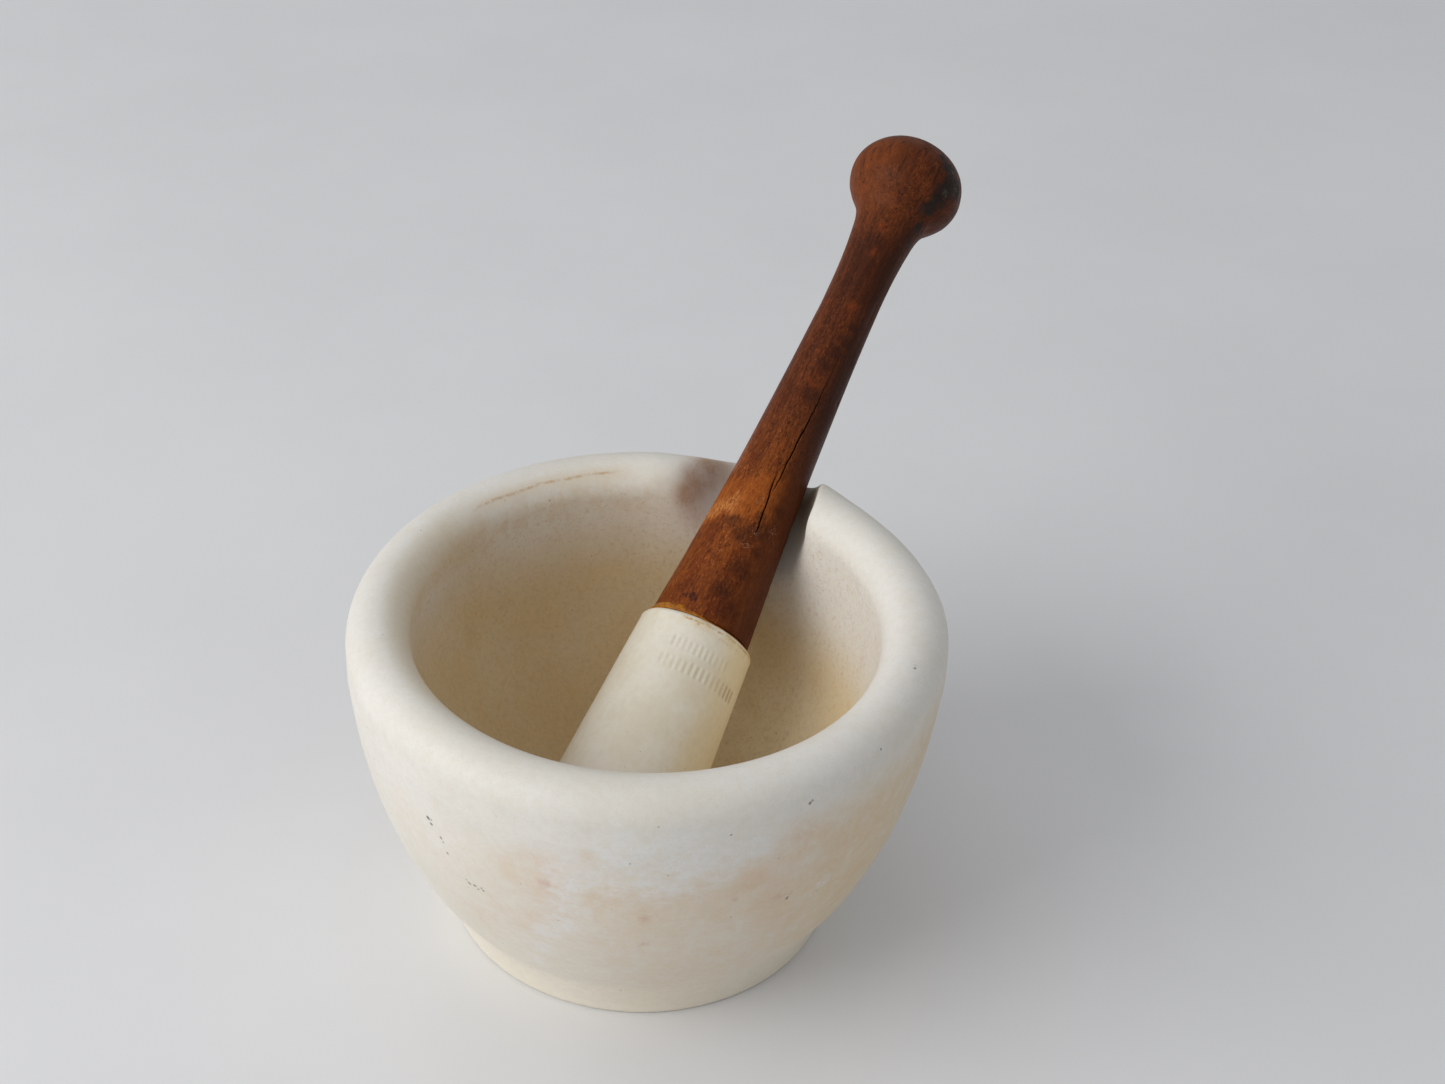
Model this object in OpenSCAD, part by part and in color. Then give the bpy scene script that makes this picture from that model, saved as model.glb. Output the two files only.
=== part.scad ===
// Laboratory mortar and pestle, millimetres, +Z up.
// The origin is the centre of the foot plane. The pestle leans back into the
// pouring spout: its axis lies in the upright plane through the mortar axis
// that is turned spout_az from +Y towards +X.
// The pestle is three pieces: a biscuit stoneware head, a turned hardwood
// handle with a ball knob and a tenon, and the resin cement that fills the
// socket round the tenon and shows as a bead at the joint.

/* [Mortar] */
// Outside diameter of the rim
mortar_d = 128; // [120:1:140]
// Height of the rim crest above the foot
mortar_h = 79.1; // [76:0.1:86]
// Thickness of the rolled rim
rim_t = 13.6; // [12:0.1:14.6]
// Diameter of the foot
foot_d = 86.4; // [80:0.2:92]
// Thickness of the floor under the middle of the bowl
floor_t = 12; // [9:0.5:15]
// Radius of the shallow recess under the foot
recess_r = 33; // [20:0.5:36]
// Depth of the recess under the foot
recess_h = 2.4; // [1:0.1:4]

/* [Spout] */
// Direction of the spout, turned from +Y towards +X
spout_az = 24.8; // [0:0.1:60]
// How far the spout stands out past the rim
spout_reach = 5; // [3:0.5:7]
// How far the swelling round the spout is turned past the groove
swell_turn = 6.2; // [0:0.1:9]
// Width of the groove where its corners meet its sides
groove_w = 28.4; // [26:0.2:29]
// Radius of the two bottom corners of the groove
groove_r = 9; // [8.8:0.1:10]
// Lean of each side of the groove from upright
groove_flare = 3; // [2:1:10]
// Slope of the groove down into the bowl
groove_slope = 37; // [36:0.5:42]

/* [Pestle] */
// Angle of the pestle above level
lean = 31.35; // [29:0.05:33]
// Where the head sits in the bowl, measured from straight down
seat = 20.8; // [19:0.1:22]
// Radius of the rounded bottom of the head
head_r = 16.3; // [15:0.1:17]
// Radius of the head at its top
head_top_r = 13.45; // [13.2:0.05:14]
// Length from the middle of the rounded bottom to the top of the head
head_l = 44.1; // [42:0.1:46]
// Radius of the wood where it meets the head
wood_r = 11.85; // [11:0.05:12]
// Radius of the thinnest part of the neck
neck_r = 6.65; // [6:0.05:8]
// Radius of the ball knob
knob_r = 14; // [12:0.1:16]
// Half the length of the ball knob along the axis
knob_a = 11.8; // [10.5:0.1:13]
// Distance from the top of the head to the middle of the knob
knob_s = 126; // [120:0.5:132]
// Radius of the tenon in the socket
tenon_r = 8.4; // [7:0.1:9]
// Length of the tenon below the top of the head
tenon_l = 24; // [16:0.5:28]
// Thickness of the cement round the tenon
glue_t = 0.8; // [0.5:0.1:1.2]

/* [Hidden] */
$fn = 96;
gap = 0.15;           // between the head and the bowl at rest
R = mortar_d / 2;
rr = rim_t / 2;       // radius of the rim roll
rc = R - rr;          // radius of the rim crest
zc = mortar_h - rr;   // height of the middle of the roll
ri = R - rim_t;       // radius of the bowl at its mouth
rf = foot_d / 2;
zb = floor_t + ri;    // middle of the round bowl
hr = mortar_h / 79.1; // height ratio for the wall
wr = R / 64;          // width ratio for the wall

// a smooth curve through the points of P, n steps to a span
function cr4(a, b, c, d, t) = 0.5 * (2 * b + (c - a) * t + (2 * a - 5 * b + 4 * c - d) * t * t + (3 * b - a - 3 * c + d) * t * t * t);
function smooth_path(P, n) = concat(
    [for (i = [0:len(P) - 2]) for (k = [0:n - 1])
        cr4(P[max(i - 1, 0)], P[i], P[i + 1], P[min(i + 2, len(P) - 1)], k / n)],
    [P[len(P) - 1]]);
function arc(cx, cy, r, a0, a1, n) = [for (i = [0:n]) let (a = a0 + (a1 - a0) * i / n) [cx + r * cos(a), cy + r * sin(a)]];

// wall of the mortar: a soft hollow run out of the foot, then up to the rim
wall_keys = [[rf, 1.2], [rf + 0.8, 4.6], [47 * wr, 11.6 * hr], [52.5 * wr, 20.5 * hr], [58.6 * wr, 36 * hr], [62.3 * wr, 51.5 * hr], [R, 66.5 * hr]];
// the whole section: recess, foot, wall, rim roll, then the round bowl
mortar_path = concat([[0, recess_h], [recess_r - 1, recess_h], [recess_r, 0], [rf - 0.8, 0], [rf - 0.15, 0.4]],
    smooth_path(wall_keys, 5), arc(rc, zc, rr, 0, 180, 16), arc(0, zb, ri, 0, -90, 18));

// the swelling that carries the spout: a smaller bowl shape set to one side
sw_r = 30.5;
sw_c = R + spout_reach - sw_r;
sw_h = mortar_h - 0.7; // its top stays just under the crest of the rim
sw_t = rr - 0.5;       // radius of its own rolled edge
swell_path = concat([[0, 40 * hr]], smooth_path([[19 * wr, 40 * hr], [24.6, 48 * hr], [28.4, 57 * hr], [sw_r, 67 * hr]], 5),
    arc(sw_r - sw_t, sw_h - sw_t, sw_t, 0, 90, 8), [[0, sw_h]]);

// pestle placement in the spout plane: rho outward, z up
seat_d = ri - head_r - gap;
ball = [-seat_d * sin(seat), zb - seat_d * cos(seat)];
top = [ball[0] + head_l * cos(lean), ball[1] + head_l * sin(lean)];

// radius of the handle at distance s above the head
handle_keys = [[wood_r, 0.4], [wood_r - 0.8, 10], [wood_r - 1.6, 20], [wood_r - 2.35, 30], [wood_r - 3.05, 40],
    [wood_r - 4.1, 60], [neck_r + 0.3, 80], [neck_r, 94], [neck_r + 0.3, 104], [neck_r + 1.25, 113]];
shaft = [for (p = smooth_path(handle_keys, 4)) [p[0], p[1] * knob_s / 126]];
// where the neck meets the knob
join_a = 180 - acos(0.81);
knob = [for (i = [0:16]) let (a = join_a * (1 - i / 16)) [knob_r * sin(a), knob_s + knob_a * cos(a)]];

// the groove floor clears the handle by this much at the lip
lip = R + 4;
lip_axis_z = top[1] + (lip - top[0]) * tan(lean);
lip_floor_z = lip_axis_z - (wood_r - 3.25 + 0.2) / cos(lean);

module in_pestle() {
    rotate([0, 0, -spout_az]) translate([0, top[0], top[1]]) rotate([-(90 - lean), 0, 0]) children();
}

module groove() {
    flat = groove_w / 2 - groove_r;
    turn = 90 - groove_flare;
    side = 46;
    x2 = flat + groove_r * sin(turn) + (side - groove_r * (1 - cos(turn))) * tan(groove_flare);
    section = concat(arc(flat, groove_r, groove_r, -90, -90 + turn, 10), [[x2, side], [-x2, side]],
        arc(-flat, groove_r, groove_r, -90 - turn, -90, 10));
    // the extrusion runs along the groove, its section upright to it
    rotate([0, 0, -spout_az]) translate([0, lip, lip_floor_z]) rotate([groove_slope, 0, 0])
        translate([0, 30, 0]) rotate([90, 0, 0]) linear_extrude(height = 66) polygon(section);
}

module mortar() {
    color([0.88, 0.85, 0.79]) difference() {
        union() {
            rotate_extrude() polygon(mortar_path);
            // only the outer crescent of the swelling, clear of the bowl
            difference() {
                rotate([0, 0, -(spout_az + swell_turn)]) translate([0, sw_c, 0]) rotate_extrude() polygon(swell_path);
                translate([0, 0, -1]) cylinder(r = rc - 1.5, h = mortar_h + 20);
            }
        }
        groove();
    }
}

// stoneware head: round bottom, slight taper, rounded shoulder, blind socket
head_path = concat(
    [for (i = [0:14]) let (a = -90 + 86.2 * i / 14) [head_r * cos(a), -head_l + head_r * sin(a)]],
    [[head_top_r, -1.5]],
    arc(head_top_r - 1.3, -1.3, 1.3, 0, 90, 5),
    [[tenon_r + glue_t, 0], [tenon_r + glue_t, -tenon_l - 1], [0, -tenon_l - 1]]);

module pestle_head() {
    color([0.90, 0.87, 0.80]) in_pestle() rotate_extrude() polygon(head_path);
}

// cement: lining of the socket, film under the shoulder, bead at the joint
module resin_cement() {
    color([0.72, 0.45, 0.12]) in_pestle() rotate_extrude() polygon([
        [0, -tenon_l - 1], [tenon_r + glue_t, -tenon_l - 1], [tenon_r + glue_t, 0],
        [wood_r + 0.25, 0], [wood_r + 0.3, 0.4], [wood_r + 0.15, 0.9], [wood_r - 0.02, 1.1],
        [wood_r, 0.4], [tenon_r, 0.4], [tenon_r, -tenon_l], [0, -tenon_l]]);
}

module pestle_handle() {
    color([0.45, 0.22, 0.10]) in_pestle() rotate_extrude()
        polygon(concat([[0, -tenon_l], [tenon_r, -tenon_l], [tenon_r, 0.4]], shaft, knob));
}

mortar();
pestle_head();
resin_cement();
pestle_handle();
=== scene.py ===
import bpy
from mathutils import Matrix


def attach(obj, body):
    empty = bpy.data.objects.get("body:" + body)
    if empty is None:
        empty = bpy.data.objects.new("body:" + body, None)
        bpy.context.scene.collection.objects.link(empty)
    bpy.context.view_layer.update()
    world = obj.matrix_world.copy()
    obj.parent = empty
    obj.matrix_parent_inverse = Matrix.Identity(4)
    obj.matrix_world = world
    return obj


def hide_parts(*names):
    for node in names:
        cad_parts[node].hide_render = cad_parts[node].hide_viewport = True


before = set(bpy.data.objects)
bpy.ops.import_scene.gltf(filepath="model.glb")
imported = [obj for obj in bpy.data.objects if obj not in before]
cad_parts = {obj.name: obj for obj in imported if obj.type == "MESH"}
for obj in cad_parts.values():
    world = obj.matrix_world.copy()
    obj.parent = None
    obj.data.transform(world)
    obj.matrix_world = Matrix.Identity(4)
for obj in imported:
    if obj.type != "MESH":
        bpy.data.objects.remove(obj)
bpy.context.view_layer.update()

import math

import bpy
import numpy as np
from mathutils import Matrix

MM = 0.001
RAD = math.pi / 180

# ---------------------------------------------------------------- dimensions (mm), the same as the CAD
R, RR = 64.0, 6.8
RC, ZC = 57.2, 72.3
RI, ZB = 50.4, 62.4
SPOUT = 24.8
LEAN = 31.35
SEAT = 20.8
HEAD_R = 16.3
HEAD_L = 44.1
SEAT_D = RI - HEAD_R - 0.15
TOP = (-SEAT_D * math.sin(SEAT * RAD) + HEAD_L * math.cos(LEAN * RAD),
       ZB - SEAT_D * math.cos(SEAT * RAD) + HEAD_L * math.sin(LEAN * RAD))
LIP = 68.0
LIP_FLOOR = TOP[1] + (LIP - TOP[0]) * math.tan(LEAN * RAD) - 8.8 / math.cos(LEAN * RAD)


# ---------------------------------------------------------------- small helpers
def smooth(x, a, b):
    t = np.clip((np.asarray(x, float) - a) / (b - a), 0, 1)
    return t * t * (3 - 2 * t)


def spline(keys, x):
    """A smooth curve through given (x, y) keys, flat at both ends."""
    k = np.asarray(keys, float)
    X, Y = k[:, 0], k[:, 1]
    m = np.zeros(len(X))
    d = np.diff(Y) / np.diff(X)
    for i in range(1, len(X) - 1):
        if d[i - 1] * d[i] > 0:
            m[i] = 2 / (1 / d[i - 1] + 1 / d[i])
    x = np.clip(np.asarray(x, float), X[0], X[-1])
    i = np.clip(np.searchsorted(X, x, side="right") - 1, 0, len(X) - 2)
    h = X[i + 1] - X[i]
    t = (x - X[i]) / h
    return ((1 + 2 * t) * (1 - t) ** 2 * Y[i] + t * (1 - t) ** 2 * h * m[i]
            + t * t * (3 - 2 * t) * Y[i + 1] + t * t * (t - 1) * h * m[i + 1])


def catmull(P, n):
    P = np.asarray(P, float)
    out = []
    for i in range(len(P) - 1):
        a, b, c, d = P[max(i - 1, 0)], P[i], P[i + 1], P[min(i + 2, len(P) - 1)]
        for k in range(n):
            t = k / n
            out.append(0.5 * (2 * b + (c - a) * t + (2 * a - 5 * b + 4 * c - d) * t * t
                              + (3 * b - a - 3 * c + d) * t ** 3))
    out.append(P[-1])
    return np.array(out)


def arc(cx, cy, r, a0, a1, n):
    a = np.linspace(a0, a1, n + 1) * RAD
    return np.stack([cx + r * np.cos(a), cy + r * np.sin(a)], 1)


def resample(P, n, w=None):
    """n points evenly spaced along the polyline P, ends kept."""
    L = np.r_[0, np.cumsum(np.sqrt((np.diff(P, axis=0) ** 2).sum(1)) + 1e-9)]
    s = np.linspace(0, L[-1], n) if w is None else np.asarray(w) * L[-1]
    return np.stack([np.interp(s, L, P[:, k]) for k in range(P.shape[1])], 1)


def wobble(seed, *axes):
    """Slow, smooth, seeded unevenness between about -1 and 1 from a few waves."""
    rng = np.random.RandomState(seed)
    out = 0
    tot = 0
    for k in range(7):
        f = [rng.uniform(0.4, 1.0) * (1 + 0.45 * k) * rng.choice([-1, 1]) for _ in axes]
        amp = 1 / (1 + 0.5 * k)
        out = out + amp * np.sin(sum(fi * ax for fi, ax in zip(f, axes)) + rng.uniform(0, 6.283))
        tot += amp
    return out / tot * 1.6


def add_mesh(name, verts, faces, attributes=None, smooth_shade=True):
    me = bpy.data.meshes.new(name)
    me.from_pydata((np.asarray(verts, float) * MM).tolist(), [], faces)
    me.validate()
    me.polygons.foreach_set("use_smooth", [smooth_shade] * len(me.polygons))
    for key, values in (attributes or {}).items():
        values = np.asarray(values, np.float32)
        if values.ndim == 2:
            at = me.attributes.new(key, "FLOAT_VECTOR", "POINT")
            at.data.foreach_set("vector", values.ravel())
        else:
            at = me.attributes.new(key, "FLOAT", "POINT")
            at.data.foreach_set("value", values)
    me.update()
    o = bpy.data.objects.new(name, me)
    bpy.context.scene.collection.objects.link(o)
    return o


def lathe_faces(nv, nu, first_pole, last_pole):
    """Faces of nv rows by nu columns, closed round the columns. A pole row is one vertex."""
    def idx(v, u):
        u %= nu
        if first_pole:
            return 0 if v == 0 else 1 + (v - 1) * nu + u
        return v * nu + u
    last = (1 + (nv - 2) * nu) if first_pole else (nv - 1) * nu
    F = []
    for v in range(nv - 1):
        for u in range(nu):
            a, b = idx(v, u), idx(v, u + 1)
            if last_pole and v == nv - 2:
                F.append((a, b, last))
                continue
            c, d = idx(v + 1, u + 1), idx(v + 1, u)
            if first_pole and v == 0:
                F.append((0, c, d))
            else:
                F.append((a, b, c, d))
    return F


def grid_to_verts(G, first_pole, last_pole):
    rows = []
    for v in range(G.shape[0]):
        if (v == 0 and first_pole) or (v == G.shape[0] - 1 and last_pole):
            rows.append(G[v].mean(0, keepdims=True))
        else:
            rows.append(G[v])
    return np.concatenate(rows, 0)


# ---------------------------------------------------------------- mortar
RIGHT_SIDE = catmull([(0, 0), (4, 0.3), (7, 1.0), (10.4, 2.7), (12.3, 4.9), (13.3, 7.4), (14.0, 10.5), (14.6, 14.5), (15.3, 26)], 8)
LEFT_SIDE = catmull([(0, 0), (3, 0.5), (6, 2.0), (9, 3.4), (11.6, 5.0), (13.4, 7.0), (14.8, 9.6), (16.2, 12.8), (18.2, 17), (22, 26)], 8)


def groove_height(lam, rho):
    """Height of the groove's section over its floor at lam mm to the right of its middle. The left side is softer."""
    x = lam + 0.19 * np.clip(rho - 53, 0, 12)
    right = np.interp(x, RIGHT_SIDE[:, 0], RIGHT_SIDE[:, 1]) + 19 * np.clip(x - 15.3, 0, None)
    left = np.interp(-lam, LEFT_SIDE[:, 0], LEFT_SIDE[:, 1]) + 2.4 * np.clip(-lam - 22, 0, None)
    return np.where(lam > 0, right, left)


def groove_floor(x, y):
    e = (math.sin(SPOUT * RAD), math.cos(SPOUT * RAD))
    rho = x * e[0] + y * e[1]
    lam = x * e[1] - y * e[0]
    g = LIP_FLOOR + (rho - LIP) * math.tan(37 * RAD) + groove_height(lam, rho) / math.cos(37 * RAD)
    return np.where(rho > 20, g, 999.0)


SWELL = [(0, 0), (6, 0.5), (11, 1.9), (16, 4.6), (20, 6.0), (25, 6.1), (29, 5.5), (33, 4.4), (38, 3.0), (46, 1.6), (56, 1.15), (70, 1.15), (80, 1.2), (92, 0.8), (108, 0)]


def swelling(az_deg):
    return spline(SWELL, az_deg)


def blur_closed_off(X, mask, steps):
    """Evens out a grid of points (rows, columns, 3), as strongly as mask says, ends kept."""
    for _ in range(steps):
        A = X.copy()
        A[1:-1, 1:-1] = (X[:-2, 1:-1] + X[2:, 1:-1] + X[1:-1, :-2] + X[1:-1, 2:]) / 4
        X = X + (A - X) * mask[..., None] * 0.8
    return X


def build_mortar():
    # recess, foot and the band above it, from the middle outward
    base = np.array([[0, 2.4], [6, 2.4], [14, 2.4], [22, 2.4], [28, 2.4], [30.6, 2.36], [31.6, 2.1], [32.2, 1.5], [32.7, 0.7],
                     [33.2, 0.2], [33.9, 0.03], [35.5, 0], [38, 0], [40.5, 0], [41.9, 0.03], [42.5, 0.14], [42.9, 0.4],
                     [43.12, 0.8], [43.24, 1.4], [43.36, 2.2], [43.56, 3.1], [43.84, 4.0], [44.12, 4.8]])
    wall = catmull([[44.42, 5.6], [45.3, 8.0], [47.0, 11.6], [52.5, 20.5], [58.6, 36], [62.3, 51.5], [64, 66.5]], 60)
    cut = int(np.argmin(abs(wall[:, 1] - 36)))
    lower = resample(wall[:cut + 1], 32)
    upper = np.concatenate([wall[cut:], np.array([[64, 67.5], [64, 69], [64, 70.5]]), arc(RC, ZC, RR, 0, 180, 120)])
    inner = np.concatenate([np.linspace([RI, ZC], [RI, ZB], 30)[1:], arc(0, ZB, RI, 0, -27, 50)[1:]])
    bowl = resample(arc(0, ZB, RI, -27, -90, 80), 38)
    zone_line = np.concatenate([upper, inner])
    # a fine even line, so that the clamped surface keeps its corners
    zone_line = resample(zone_line, 420)
    NZ = 148

    # azimuth columns: fine ones round the spout
    z0, z1, nz = -4.0, 58.0, 124
    zone_az = np.linspace(z0, z1, nz)
    rest_az = np.linspace(z1, 360 + z0, 190)[1:-1]
    az = np.r_[zone_az, rest_az]
    fine_az = np.linspace(z0, z1, 900)

    def upper_surface(azs):
        a = azs[None, :]
        r = zone_line[:, 0][:, None] + 0 * a
        z = zone_line[:, 1][:, None] + 0 * a
        # swelling: the outer side moves out, the inner side stays
        out = np.clip((r - RI) / (R - RI), 0, 1)
        out = np.where(zone_line[:, 1][:, None] < ZC, np.where(zone_line[:, 0][:, None] > 53, 1.0, 0.0), out)
        w = smooth(z, 40, 67)
        r = r + swelling(a) * w * out
        r = r + hand(a, z) * (out > 0.5) * 1.0
        x, y = r * np.sin(a * RAD), r * np.cos(a * RAD)
        g = groove_floor(x, y)
        k = 1.2
        h = np.clip(0.5 + 0.5 * (g - z) / k, 0, 1)
        z = g * (1 - h) + z * h - k * h * (1 - h)
        return np.stack([x, y, z], -1)

    def hand(a, z):
        # slow unevenness of a hand-finished outside
        return 0.16 * wobble(3, np.sin(a * RAD) * 1.6 + 0 * z, np.cos(a * RAD) * 1.6 + 0 * z, z / 16.0) * smooth(z, 6, 20)

    fine = upper_surface(fine_az)
    step1 = np.stack([resample(fine[:, j], NZ) for j in range(fine.shape[1])], 1)
    u_even = np.linspace(0, 1, nz)
    step2 = np.stack([resample(step1[i], nz, u_even) for i in range(NZ)], 0)
    # soften: wide on the left flank and inside, tighter on the lip and tight on the right crease
    e = (math.sin(SPOUT * RAD), math.cos(SPOUT * RAD))
    lam = step2[..., 0] * e[1] - step2[..., 1] * e[0]
    rho = step2[..., 0] * e[0] + step2[..., 1] * e[1]
    edge = smooth(np.arange(NZ), 0, 14)[:, None] * smooth(NZ - 1 - np.arange(NZ), 0, 14)[:, None]
    edge = edge * smooth(np.arange(nz), 0, 8)[None, :] * smooth(nz - 1 - np.arange(nz), 0, 8)[None, :]
    near = smooth(-abs(lam), -26, -16)
    m_left = edge * smooth(-lam, 4, 10) * smooth(lam, -26, -18) * smooth(-rho, -67, -60)
    m_right = edge * near
    X = blur_closed_off(step2, m_right, 4)
    m_fold = edge * near * smooth(lam, 5, 9) * smooth(-step2[..., 2], -77, -63) * smooth(-rho, -61, -52)
    X = blur_closed_off(X, m_fold, 44)
    m_lip = edge * smooth(rho, 58, 64) * smooth(-abs(lam), -16, -11)
    X = blur_closed_off(X, m_lip, 10)
    m_floor = edge * smooth(-abs(lam), -11, -6) * smooth(-rho, -60, -54)
    X = blur_closed_off(X, m_floor, 10)
    X = blur_closed_off(X, m_left, 46)
    m_under = edge * smooth(-lam, 5, 11) * smooth(-step2[..., 2], -74, -64) * smooth(-rho, -60, -52)
    X = blur_closed_off(X, m_under, 40)

    rest = upper_surface(rest_az)
    rest = np.stack([resample(rest[:, j], NZ) for j in range(rest.shape[1])], 1)
    top_rows = np.concatenate([X, rest], 1)

    def plain(line):
        a = az[None, :]
        r = line[:, 0][:, None] + 0 * a
        z = line[:, 1][:, None] + 0 * a
        low = np.where((z > 0.3) & (r > 42), 1.0, 0.0)
        r = r + swelling(a) * smooth(z, 40, 67) * low + hand(a, z) * low * (r > 42)
        # the foot stands a little fuller on the left
        r = r + 0.42 * low * smooth(z, 0.5, 3) * smooth(-z, -13, -6) * smooth(np.cos((a + 104) * RAD), 0.1, 1.0)
        return np.stack([r * np.sin(a * RAD), r * np.cos(a * RAD), z], -1)

    def plain_bowl(line):
        a = az[None, :]
        r = line[:, 0][:, None] + 0 * a
        z = line[:, 1][:, None] + 0 * a
        return np.stack([r * np.sin(a * RAD), r * np.cos(a * RAD), z], -1)

    G = np.concatenate([plain(base), plain(lower[:-1]), top_rows, plain_bowl(bowl[1:])], 0)
    nv, nu = G.shape[:2]
    V = grid_to_verts(G, True, True)
    F = lathe_faces(nv, nu, True, True)
    return V, F, (nv, nu)


# ---------------------------------------------------------------- pestle
E = np.array([math.sin(SPOUT * RAD), math.cos(SPOUT * RAD), 0.0])
AX = np.array([math.cos(LEAN * RAD) * E[0], math.cos(LEAN * RAD) * E[1], math.sin(LEAN * RAD)])
SIDE = np.array([math.cos(SPOUT * RAD), -math.sin(SPOUT * RAD), 0.0])
UP = np.cross(SIDE, AX)
P0 = np.array([TOP[0] * E[0], TOP[0] * E[1], TOP[1]])


def on_pestle(s, th, r):
    """Points at distance s along the axis from the head's top, th degrees from the upper side towards the right."""
    t = np.asarray(th, float)[..., None] * RAD
    s = np.asarray(s, float)[..., None]
    r = np.asarray(r, float)[..., None]
    world = P0 + s * AX + r * (np.sin(t) * SIDE + np.cos(t) * UP)
    local = np.concatenate([r * np.sin(t), r * np.cos(t), s + 0 * r], -1)
    return world, local


def columns(parts):
    """Angles round a piece from (start, stop, step) runs in degrees."""
    out = []
    for a, b, st in parts:
        n = max(1, int(round((b - a) / st)))
        out += [a + (b - a) * k / n for k in range(n)]
    return np.array(out)


SHAFT = [(0.4, 11.85), (5, 11.46), (10, 11.07), (15, 10.67), (20, 10.27), (25, 9.88), (30, 9.5), (35, 9.15), (40, 8.82), (45, 8.53),
         (50, 8.26), (55, 8.01), (60, 7.78), (65, 7.56), (70, 7.34), (75, 7.14), (80, 6.96), (85, 6.81), (90, 6.7), (95, 6.66),
         (100, 6.75), (105, 7.0), (110, 7.45), (113, 7.85)]


def handle_profile():
    s = np.r_[np.arange(1.2, 20, 0.7), np.arange(20, 72, 0.3), np.arange(72, 86, 0.45), np.arange(86, 114, 0.8)]
    k = np.array(SHAFT)
    shaft = np.stack([np.interp(s, k[:, 0], k[:, 1]), s], 1)
    # even out the corners of the straight runs
    for _ in range(24):
        shaft[1:-1, 0] = (shaft[:-2, 0] + 2 * shaft[1:-1, 0] + shaft[2:, 0]) / 4
    ja = math.pi - math.acos(0.79)
    a = np.linspace(ja, 0, 34)
    knob = np.stack([14.0 * np.sin(a), 126 + 11.8 * np.cos(a)], 1)
    neck = np.array([shaft[-1], [8.15, 115.3], knob[0]])
    both = np.concatenate([shaft, neck[1:2], knob])
    near = (both[:, 1] > 108) & (both[:, 1] < 121)
    for _ in range(6):
        sm = both.copy()
        sm[1:-1] = (both[:-2] + 2 * both[1:-1] + both[2:]) / 4
        both = np.where(near[:, None], sm, both)
    # tenon, shoulder with a worn edge
    tenon = np.array([[0, -24], [3, -24], [7.6, -24], [8.2, -23.7], [8.38, -23.2], [8.38, -18], [8.38, -10], [8.38, -3], [8.4, 0.2],
                      [8.6, 0.42], [9.6, 0.42], [10.8, 0.42], [11.4, 0.46], [11.68, 0.6], [11.8, 0.85]])
    return np.concatenate([tenon, both])


CRACK_1 = [(34, 31.8), (38, 33.2), (43, 34.5), (47, 35.6), (52, 37.2), (58, 40.2), (61, 40.8), (66, 41.2), (70, 42.2), (76, 43.6), (84, 44.4)]
CRACK_2 = [(20, 35), (26, 33.6), (29, 32.6), (32, 31.4), (35, 29.6), (38.5, 27.4), (43, 27.0), (46, 26.6)]


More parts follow.
